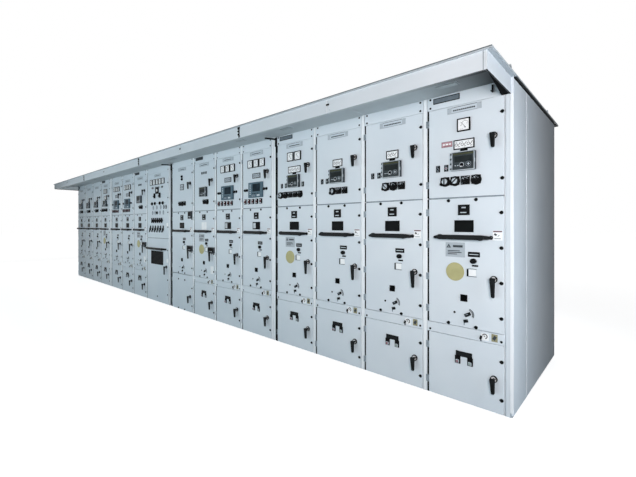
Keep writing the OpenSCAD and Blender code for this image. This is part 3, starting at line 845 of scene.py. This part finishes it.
# protection relay: case, display strip, keys, and the clear cover with its clips at the left
fitStamp("relay", [
    (6, 0, 164, 135, 32, dark, 0, 3), ("sink", 5, 3, "relayFace"),
    (6, 51.5, 150, 13, 2, "olivePane", 29, 0.6), (4, 14, 126, 44, 1.5, "relayScreen", 29, 0.6),
    (-52, -32, 11, 5.5, 2, "paleKnob", 29, 0.8), (-34, -32, 11, 5.5, 2, "paleKnob", 29, 0.8),
    ("disc", -6, -28, 17, 2.5, "clearRim", 29, 0.8), ("sink", 2.4, 1, black),
    (-12, -40, 12, 6, 1.2, white, 30.6, 0.5),
    ("disc", 42, -26, 19, 2.2, ink, 29, 0.6), ("sink", 2, 1, black),
    (42, -26, 20, 5.5, 2, "paleKnob", 30, 0.8), (42, -26, 5.5, 20, 2, "paleKnob", 30, 0.8),
    (4, 65.5, 162, 5, 6, "clearRim", 32, 1), (4, -66.5, 162, 6, 6, "clearRim", 32, 1),
    # painted highlight: the short pale block at the middle of the right rim
    (84, 0, 5, 137, 6, "clearRim", 32, 1), (86, -4, 8, 26, 8, "clearRim", 28, 1),
    (-75, 0, 5, 135, 6, "clearRim", 32, 1), (-84, 0, 14, 135, 28, "clearRim", 0, 2),
    *((-86, z, 12, 14, 12, dark, 20, 1.5) for z in (-54, -18, 18, 54))])

# operator display: slate case, screen at the upper right, keys beside and below it
fitStamp("display", [
    (0, 0, 262, 183, 24, "slateCase", 0, 4, 0, 3), ("sink", 8, 1.5),
    (24, 26, 140, 90, 3, black, 22.5, 1), ("sink", 6, 1, "screenGlass"),
    *((-94, 62 - 22 * k, 20, 11, 2, "paleKnob", 22.5, 1) for k in range(6)),
    *((30 * k - 40, -42, 19, 9, 2, black, 22.5, 1) for k in range(4)),
    ("disc", -50, -68, 10, 2, grey, 22.5, 0.6), ("sink", 2, 0.8, dark),
    ("disc", -16, -68, 10, 2, grey, 22.5, 0.6), ("sink", 2, 0.8, dark),
    (62, -66, 52, 18, 2, "paleKnob", 22.5, 1)])

mesh = bmesh.new()
for tag, count in meterCounts.items():
    fit(mesh, [("meter", 113 * (k - (count - 1) / 2), -153) for k in range(count)],
        cubicles[tag].mid, doorTop)
settle(mesh, "panel_meter_dials", "panel_meters")
for name, piece, owners, drop in (("relay", "relay_units", relayTags, 0.420),
                                  ("display", "operator_displays", displayTags, 0.470)):
    mesh = bmesh.new()
    for tag in owners:
        stamp(mesh, name, cubicles[tag].mid, doorTop - drop)
    settle(mesh, piece, "protection_relays")

switchCounts = {"01": 4, "02": 3, "03": 3, "04": 5, "05": 5, "06": 5, "07": 2, "08": 3, "09": 6,
                "10": 2, "11": 5, "12": 5, "13": 5, "14": 3, "15": 3, "16": 3}
paleCounts = {"01": 2, "02": 1, "03": 1, "04": 1, "13": 1, "14": 1, "15": 1, "16": 1}


def ray(radius, degrees):
    # a point at a clockwise angle from upright
    return radius * math.sin(math.radians(degrees)), radius * math.cos(math.radians(degrees))


def switchRows(isPale, turn):
    # control switch: square plate, dial ring with marks, and a pointer knob
    rows = [(0, 0, 64, 64, 12, black, 0, 2)]
    if isPale or turn == 0:
        rows.append(("disc", 0, -2, 37, 10, black, 0, 1.5, 28))
    if isPale:
        # round pale dial with a dark bar knob across it
        return rows + [
            (-34, -18, 16, 20, 10, black, 0, 4),
            ("disc", 0, 0, 25.5, 8, black, 11, 1, 32), ("sink", 3, 0.8, "paleKnob"),
            ("disc", 0, 0, 10.5, 6, "paleKnob", 18.2, 1, 20),
            (0, 0, 7.5, 42, 10, nylon, 22.2, 2.2, turn),
            *((*ray(19, turn + side), 3, 6.5, 0.5, "dialInk", 18.2, 0, turn + side) for side in (-60, 60))]
    # knurled knob with a short pale pointer
    x, z = ray(9, turn)
    rows += [("disc", 0, 0, 22.5, 7, black, 11, 1, 28), ("sink", 2.4, 0.8, black),
             # painted highlight: pale strokes along the upper rim of the dial ring
             *arc(0, 0, 20.5, range(30, 151, 30), 7, 3.4, 0.4, grey, 19.2, 0),
             ("disc", 0, 0, 12.5, 8, nylon, 17.2, 1, 20, 11.5),
             (0, 3, 9, 34, 8, black, 23.7, 2.4, turn),
             (x, z + 3, 4.2, 13, 0.5, grey, 31.4, 0, turn)]
    if turn:
        # printed corner marks on the square plate
        rows += [(22, 24, 12, 4, 0.4, grey, 11.8, 0, -40),
                 (-22, -22, 10, 4, 0.4, ink, 11.8, 0, -40)]
    return rows


for isPale in (True, False):
    for k in range(3):
        fitStamp(f"switch{isPale}{k}", switchRows(isPale, 45 * (k - 1)))
# lamp switch: two dark cheeks with a dusky red cap and a pale mark between them
fitStamp("switchLit", [
    (0, 0, 50, 62, 10, black, 0, 4, 0, 3), (0, 4, 20, 50, 6, "capRed", 9, 3),
    (0, 16, 18, 10, 2, white, 14.5, 0.6), (0, -20, 26, 8, 1, "paleKnob", 14.5, 0.4)])
# the slim one with a tall grip
fitStamp("switchGrip", [
    (0, 0, 38, 38, 12, black, 0, 3, 45), (4, 2, 18, 88, 16, black, 10, 5),
    (4, 20, 4, 24, 1, grey, 25.5)])

mesh = bmesh.new()
for tag, count in switchCounts.items():
    first, drop, name = 88, 560, ""
    if tag in displayTags:
        drop, name = 605, "switchLit"
    elif tag == "09":
        first, drop, name = 190, 813, "switchGrip"
    pale = count - paleCounts.get(tag, 0)
    fit(mesh, [(name or f"switch{k >= pale}{(k * 2 + int(tag)) % 3}", first - 76 * k, -drop)
               for k in range(count)], cubicles[tag].mid, doorTop)
settle(mesh, "control_switches", "rotary_switches")


def lampRows(lens, wide=32, high=50):
    # indicator: black bezel, dark cup and a domed lens, black where it has none
    cup = grey if lens == "redLens" else ink
    return [(0, 0, wide, high, 6, black, 0, 2),
            ("disc", 0, -0.04 * high, 0.30 * wide, 4, cup, 5, 1, 20),
            ("disc", 0, -0.04 * high, 0.21 * wide, 8, lens, 6, 2.5, 16, 0.17 * wide),
            (-0.10 * wide, 0.34 * high, 0.42 * wide, 0.09 * high, 0.6, ink, 6),
            (0.08 * wide, -0.38 * high, 0.42 * wide, 0.07 * high, 0.6, ink, 6)]


def knobRows(radius):
    return [("disc", 0, 0, radius, 10, black, 0, 1.5, 20),
            ("disc", 0, 0, 0.66 * radius, 12, black, 9, 2, 16, 0.58 * radius),
            (0, 0.3 * radius, 2, 0.6 * radius, 0.6, grey, 20.8)]


def ringRows(skin):
    # ring light seen as a tall oval, leaning to the right
    return [("disc", 0, 0, 30, 5, skin, 0, 0.8, 24, None, (0.8, 1.15)), ("sink", 7.5, 2, grey),
            (10, 10, 8, 34, 6, skin, 0, 2, 20)]


def nameplateRows(high):
    # blank plate: a carrier with screwed ears, and a clear insert with short strokes for the engraving
    return [(0, 0, 250, high, 1.6, grey, 0, 0.5),
            (0, 0, 184, high - 6, 1.2, "plateInsert", 1.4, 0.4),
            (0, high / 2 - 4, 184, 3, 0.6, dark, 2.6),
            (0, 4 - high / 2, 184, 2.4, 0.6, ink, 2.6),
            *((14.8 * (k - 5), -3, 12, 10, 0.5, dark, 2.6) for k in range(11)),
            *corners("smallScrew", 0, 0, 115, high / 2 - 8, -1.6)]


# warning label with a dark rose border and plain strokes
roseCard = [(0, 0, 84, 42, 1.4, "roseDark", 0, 0.3), ("sink", 3.5, 0.4, "roseLabel"),
            *((x, 1, wide, 11, 0.4, white, 1) for x, wide in ((-24, 16), (0, 20), (24, 14))),
            (0, -12, 52, 3, 0.4, "roseDark", 1)]


def cardRows(wide, high, skin=grey, tab=0):
    # mimic card in a black frame: small rings and strokes, and the black tab under some of them
    rows = [(0, 0, wide, high, 6, black, 0, 1.2), ("sink", 9.5, 1.5, skin)]
    count = round((wide - 26) / 22)
    for k in range(count):
        x = 22 * (k - (count - 1) / 2)
        if k % 2:
            rows += [(x, 4, 4, 28, 0.6, dark, 4.5, 0, 35),
                     (x - 2, -16, 15, 3.6, 0.6, dark, 4.5)]
        else:
            rows += [("disc", x, -1, 11, 0.6, dark, 4.5, 0, 20), ("sink", 3, 0.4, skin),
                     (x, 18, 12, 3.2, 0.6, ink, 4.5)]
    if tab:
        rows.append((0, -high / 2 - 9, tab, 19, 5, black, 0, 1))
    return rows


nameplates, cards, lamps, knobs = (bmesh.new() for _ in range(4))
for tag, cubicle in cubicles.items():
    mid, side = cubicle.mid, cubicle.side
    if cubicle.isControl:
        fit(nameplates, nameplateRows(46), side - 0.457, doorTop - 0.044)
        continue
    fit(nameplates, nameplateRows(48), mid, doorTop - 0.033)
    if tag in cardTags:
        wide = {"01": 152, "04": 190, "13": 190}.get(tag, 118)
        fit(cards, cardRows(wide, 72, white, 54), mid, doorTop - 0.294)
        fit(lamps, lampRows(black), mid - 0.197, doorTop - 0.459)
        fit(lamps, lampRows("redLens" if tag == "01" else "greenLens"), mid - 0.132, doorTop - 0.459)
    if tag in ("04", "13"):
        fit(lamps, lampRows("greenLens"), side - 0.187, doorTop - 0.459)
    if tag == "01":
        fit(cards, roseCard, side - 0.444, doorTop - 0.280)
    if tag in displayTags:
        fit(cards, cardRows(150, 60), mid, doorTop - 0.300)
        for x in (0.125, 0.170, 0.500, 0.537):
            fit(knobs, knobRows(17), side - x, doorTop - 0.465)
    if tag in ("07", "10"):
        for x in (-0.055, 0.0, 0.055):
            fit(lamps, lampRows(black, 30, 34), mid + x, doorTop - 0.150)
    if tag == "08":
        fit(cards, cardRows(110, 90), mid, doorTop - 0.307)
        for drop in (0.145, 0.185):
            fit(knobs, knobRows(21), mid, doorTop - drop)
settle(nameplates, "nameplates")
settle(cards, "framed_cards")
settle(lamps, "indicator_lamps")
settle(knobs, "selector_knobs")

# The synchronising panel, from the middle of its cubicle and the top of the door
syncRows = [
    # synchroscope, and a square, a spindle and a tall grip on each side of it
    (0, -300, 108, 112, 16, black, 0, 2), ("sink", 10, 3, "windowGlass"),
    ("disc", 0, -300, 24, 1, "dialCard", 13, 0, 28), (0, -295, 3, 26, 1, "dialInk", 14, 0, 17.19),
    *((x - 34, -396, 56, 24, 10, black, 0, 2) for x in (-100, 100)),
    *((x + 12, -388, 26, 86, 26, black, 0, 5) for x in (-100, 100)),
    (0, -520, 620, 4.5, 1.2, ink), (375, -884, 60, 56, 1.2, white)]
leverRows = [
    # lever switch: a cross-shaped base and a bent grip that leans down to the left
    (0, 4, 24, 84, 12, black, 0, 3), (-26, -2, 40, 18, 12, black, 0, 3, -30),
    (-12, -40, 18, 60, 14, nylon, 10, 4, 25)]
# rows of the same small part: drop, distances from the middle
syncPlaces = (
    (lampRows("redLens", 30, 30), 0.250, (-0.205, -0.170, -0.060)),
    (lampRows("greenLens", 30, 30), 0.250, (0.060, 0.165, 0.200)),
    (knobRows(29), 0.520, (-0.205, -0.092, 0.100, 0.215)), (knobRows(26), 0.680, (-0.006,)),
    (ringRows(ink), 0.590, (-0.160, -0.020, 0.130)),
    (ringRows(black), 0.590, (0.250, 0.330)),
    (ringRows(ink), 0.680, (-0.185, -0.085, 0.105, 0.230)),
    (leverRows, 0.944, [0.099 * k - 0.262 for k in range(6)]))

mesh = bmesh.new()
centre = cubicles["09"].side - 0.457
fit(mesh, syncRows, centre, doorTop)
for rows, drop, places in syncPlaces:
    for x in places:
        fit(mesh, rows, centre + x, doorTop - drop)
settle(mesh, "synchronising_panel_fittings")
print("instruments mounted")


# ---- canopy, roof and rear ----

# canopy lights: an opal cover under a tray, at both ends of each section
canopyLight = {"inward": 0.060, "tray": (0.160, 0.064, 0.003), "cover": (0.144, 0.050, 0.006)}
mesh = bmesh.new()
y, top = (lightLow.y + lightHigh.y) / 2 - frontY, lightHigh.z
for first, last in (("01", "04"), ("05", "08"), ("09", "12"), ("13", "16")):
    for x in (cubicles[first].mid - canopyLight["inward"], cubicles[last].mid + canopyLight["inward"]):
        block(mesh, (x, y, top - 0.0015), canopyLight["tray"], "hoodPaint", 0.0008)
        block(mesh, (x, y, top - 0.0050), canopyLight["cover"], "opalCover", 0.002)
settle(mesh, "canopy_light_fittings", "canopy_lights")

# joints of the fascia, from the middle of its height: a pale seam with a dark clip or a bolted flange
fascia = (hoodLow.y - frontY) * 1000
middle, tall = (hoodLow.z + hoodHigh.z) / 2, (hoodHigh.z - hoodLow.z) * 1000
seam = [(-8, 0, 6, tall - 4, 1.5, white, -fascia, 0.4)]
flange = [(4, -2, 14, tall - 8, 6, "rubber", -fascia, 1),
          (0, tall / 2 - 14, 34, 22, 7.5, nylon, -fascia, 2),
          *((x, z, 14, 14, 7.5, nylon, -fascia, 2) for x, z in ((-12, 12), (-10, -22), (10, -40)))]
clip = [(0, tall / 2 - 45, 30, 14, 5, nylon, -fascia, 1),
        *(("smallScrew", x, tall / 2 - 90, fascia) for x in (-22, 22))]
mesh = bmesh.new()
for tag in ("02", "04", "06", "08", "10", "12", "14"):
    fit(mesh, seam + (flange if tag in ("04", "08", "12") else clip), cubicles[tag].edge, middle)
for x in (hoodHigh.x - 0.021, hoodLow.x + 0.021):
    plate(mesh, x, middle, 4.5, tall - 2, 1.5, ink, -fascia, 0.4)
settle(mesh, "fascia_clips")

# at both ends of the canopy: a black gusset along the end cap's foot, painted shade standing for the shade
# in that corner, and a hook under the ceiling
gusset = {"long": 0.450, "wide": 0.050, "thick": 0.005}
hook = {"inward": 0.105, "wide": 0.009}
mesh = bmesh.new()
ceiling, foot = lightHigh.z, hoodLow.z
for side, edge in ((1, hoodHigh.x - 0.0105), (-1, hoodLow.x + 0.0105)):
    outline = [(edge, -gusset["long"]), (edge, -0.003), (edge - side * gusset["wide"], -0.003)]
    low = [mesh.verts.new((x, y, foot + 0.004 - gusset["thick"] / 2)) for x, y in outline]
    face = mesh.faces.new(low if side < 0 else low[::-1])
    grown = bmesh.ops.extrude_face_region(mesh, geom=[face])["geom"]
    raised = [v for v in grown if isinstance(v, bmesh.types.BMVert)]
    bmesh.ops.translate(mesh, verts=raised, vec=(0, 0, gusset["thick"]))
    paint({f for v in low + raised for f in v.link_faces}, "matBlack")
    if side < 0:
        # a white lining inside the left end cap, brighter than the cap's paint
        box(mesh, (edge + 0.001, edge + 0.005), (-0.485, -0.015), (foot + 0.010, ceiling - 0.002),
            white, 0.001)
    x = edge - side * hook["inward"]
    block(mesh, (x, -0.012, ceiling - 0.042), (hook["wide"], 0.016, 0.052), nylon, 0.002)
    block(mesh, (x, -0.026, ceiling - 0.066), (hook["wide"], 0.040, 0.008), nylon, 0.002)
    block(mesh, (edge - side * 0.040, -0.010, foot + 0.020), (0.036, 0.018, 0.014), nylon, 0.002)
bmesh.ops.recalc_face_normals(mesh, faces=mesh.faces)
settle(mesh, "canopy_shade_gussets")

# hexagon bolts round the rear covers, stamped on a front plane and then turned to the rear
rearCover = {"foot": 0.030, "split": 1.180, "boltSide": 0.020, "boltInset": 0.025}
mesh = bmesh.new()
for cubicle in cubicles.values():
    right, left = cubicle.side - rearCover["boltSide"], cubicle.edge + rearCover["boltSide"]
    for low, high in ((rearCover["foot"], rearCover["split"]), (rearCover["split"], roofLow.z)):
        low, high = low + rearCover["boltInset"], high - rearCover["boltInset"]
        heights = [low + (high - low) * k / 3 for k in range(4)]
        places = [(x, z) for z in heights for x in (right, left)]
        for x, z in places + [((right + left) / 2, low), ((right + left) / 2, high)]:
            stamp(mesh, "hexBolt", x, z)
for vert in mesh.verts:
    vert.co.y = -vert.co.y
bmesh.ops.reverse_faces(mesh, faces=mesh.faces)
settle(mesh, "rear_cover_bolts", plane=rearY - 0.004)

# cover strip over the seam of each end wall, and a bright folded corner in front of it
endSeam = {"behind": 0.3575, "half": 0.004, "proud": 0.002, "corner": 0.022, "cornerHalf": 0.0025}
seams, gasketsAndShade = bmesh.new(), bmesh.new()
seamY, cornerY, top = wallLow.y + endSeam["behind"], wallLow.y, wallHigh.z
half, thin = endSeam["half"], endSeam["cornerHalf"]
for side, x in ((1, wallHigh.x), (-1, wallLow.x)):
    box(seams, sorted((x, x + side * endSeam["proud"])), (seamY - half, seamY + half),
        (0.038, top - 0.006), "framePaint", 0.0006)
    box(seams, sorted((x, x - side * endSeam["corner"])), (cornerY - thin, cornerY + thin),
        (0.042, top - 0.110), "framePaint", 0.0018, 3)
    # black gasket between the wall and the roof, partly painted shade under the roof's edge
    box(gasketsAndShade, sorted((x, x + side * 0.004)), (wallLow.y + 0.002, wallHigh.y - 0.002),
        (top - 0.011, top - 0.001), "rubber", 0.001)
# painted shade: a black strip under the roof's rear overhang
box(gasketsAndShade, (roofLow.x + 0.005, roofHigh.x - 0.005), (wallHigh.y + 0.004, roofHigh.y - 0.012),
    (roofLow.z - 0.00375, roofLow.z - 0.00025), "rubber", 0.0008)
settle(seams, "end_seam_covers", plane=0.0)
settle(gasketsAndShade, "roof_gaskets_and_shade", plane=0.0)
print("canopy, rear and ends done")


# ---- finishes of the CAD nodes that stay as they are ----

staying = {"base_frame": "primer", "door_rests": "zincSheet", "partition_walls": "zincSheet",
           "compartment_liners": "zincSheet", "rear_covers": "panelPaint", "roof_sheets": "roofPaint",
           "end_walls": "endPaint", "canopy_hoods": "hoodPaint", "joint_seals": "rubber",
           "joint_posts": "framePaint", "lifting_eyes": "zincPlate"}
for name, finish in staying.items():
    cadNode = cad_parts[name]
    for slotOfNode in cadNode.material_slots:
        slotOfNode.material = finishes[finish]
    if not cadNode.material_slots:
        cadNode.data.materials.append(finishes[finish])


# ---- floor, light and camera ----


def link(name, data, place=(0, 0, 0)):
    thing = bpy.data.objects.new(name, data)
    thing.location = place
    bpy.context.scene.collection.objects.link(thing)
    return thing


def seenPlainly(tree):
    # 1 for the rays that look at a thing, 0 for those that light with it
    rays = node(tree, "LightPath").outputs
    seen = combine(tree, rays["Is Camera Ray"], rays["Is Glossy Ray"], "MAXIMUM")
    return combine(tree, seen, rays["Is Transmission Ray"], "MAXIMUM")


# plain white studio floor that keeps a soft shadow of the row
mesh = bmesh.new()
bmesh.ops.create_grid(mesh, x_segments=1, y_segments=1, size=60)
data = bpy.data.meshes.new("studio_floor")
mesh.to_mesh(data)
mesh.free()
material, tree, spot = startMaterial("studioFloor")
# nearly white to the camera close to the row, where the shadow lies, and white further out
flat = node(tree, "VectorMath", {1: (0.62, 1.0, 0.0)}, {0: spot}, operation="MULTIPLY")
away = node(tree, "VectorMath", links={0: flat.outputs["Vector"]}, operation="LENGTH")
glow = node(tree, "MapRange", {"From Min": 3.2, "From Max": 8.0, "To Min": 0.9, "To Max": 1.0},
            {"Value": away.outputs["Value"]})
glow = combine(tree, glow.outputs["Result"], seenPlainly(tree))
matt = node(tree, "BsdfDiffuse", {"Color": colour("#a3abb0")})
plain = node(tree, "Emission", {"Color": (1, 1, 1, 1)}, {"Strength": glow})
both = node(tree, "AddShader", links={0: matt.outputs[0], 1: plain.outputs[0]})
node(tree, "OutputMaterial", links={"Surface": both.outputs[0]})
data.materials.append(material)
link("studio_floor", data)

# faint sky light, plain white to the eye
world = bpy.data.worlds.new("studio")
world.use_nodes = True
bpy.context.scene.world = world
tree = world.node_tree
tree.nodes.clear()
soft = node(tree, "Background", {"Color": colour("#eef4fa"), "Strength": 0.02})
plain = node(tree, "Background", {"Color": (1, 1, 1, 1), "Strength": 1.0})
mix = node(tree, "MixShader", links={0: seenPlainly(tree), 1: soft.outputs[0], 2: plain.outputs[0]})
node(tree, "OutputWorld", links={"Surface": mix.outputs[0]})


def addLamp(name, place, aim, size, power, text="#ffffff", spread=180):
    lamp = bpy.data.lights.new(name, "AREA")
    lamp.shape = "RECTANGLE"
    lamp.size, lamp.size_y = size
    lamp.energy = power
    lamp.color = colour(text)[:3]
    lamp.spread = math.radians(spread)
    turned = (Vector(aim) - Vector(place)).to_track_quat("-Z", "Y")
    link(name, lamp, place).rotation_euler = turned.to_euler()


# place, aim, width and height, power in watts, tint, spread in degrees
lamps = {
    "keyWide": ((6.2, -3.3, 1.7), (3.9, -0.75, 1.6), (1.0, 0.8), 63, "#fff2ee"),
    "rowFar": ((0.5, -6.5, 1.0), (-0.5, -0.75, 1.1), (9.0, 0.9), 147, "#e4f8ff"),
    "rowNear": ((0.0, -2.2, 1.35), (0.0, -0.75, 1.35), (9.0, 0.4), 17),
    "rowHigh": ((0.0, -2.7, 1.6), (0.0, -0.75, 1.6), (9.0, 0.4), 10),
    "rightEnd": ((6.15, -1.15, 1.15), (5.128, -1.15, 1.15), (0.4, 2.9), 17.5, "#ebf6ff"),
    "rear": ((0.0, 3.6, 1.5), (0.0, 0.75, 1.25), (9.8, 1.4), 96, "#ffffff", 100),
    "above": ((-0.1, 0.5, 4.6), (-0.1, 0.0, 2.3), (8.8, 1.0), 88, "#ffffff", 100),
    "leftEnd": ((-9.5, 1.0, 2.6), (-5.1, 0.0, 1.2), (2.0, 2.0), 150),
}
for name, lamp in lamps.items():
    addLamp(name, *lamp)

view = {"focal": 20.06, "place": (5.753, -3.364, 1.313), "turn": 41.61, "shiftX": -0.0116,
        "shiftY": -0.02135}
camera = bpy.data.cameras.new("camera")
camera.sensor_width = 36
camera.lens = view["focal"]
camera.shift_x, camera.shift_y = view["shiftX"], view["shiftY"]
camera.clip_end = 200
holder = link("camera", camera, view["place"])
holder.rotation_euler = (math.radians(90), 0, math.radians(view["turn"]))
bpy.context.scene.camera = holder
bpy.context.scene.view_settings.view_transform = "Standard"
print("camera and light set")
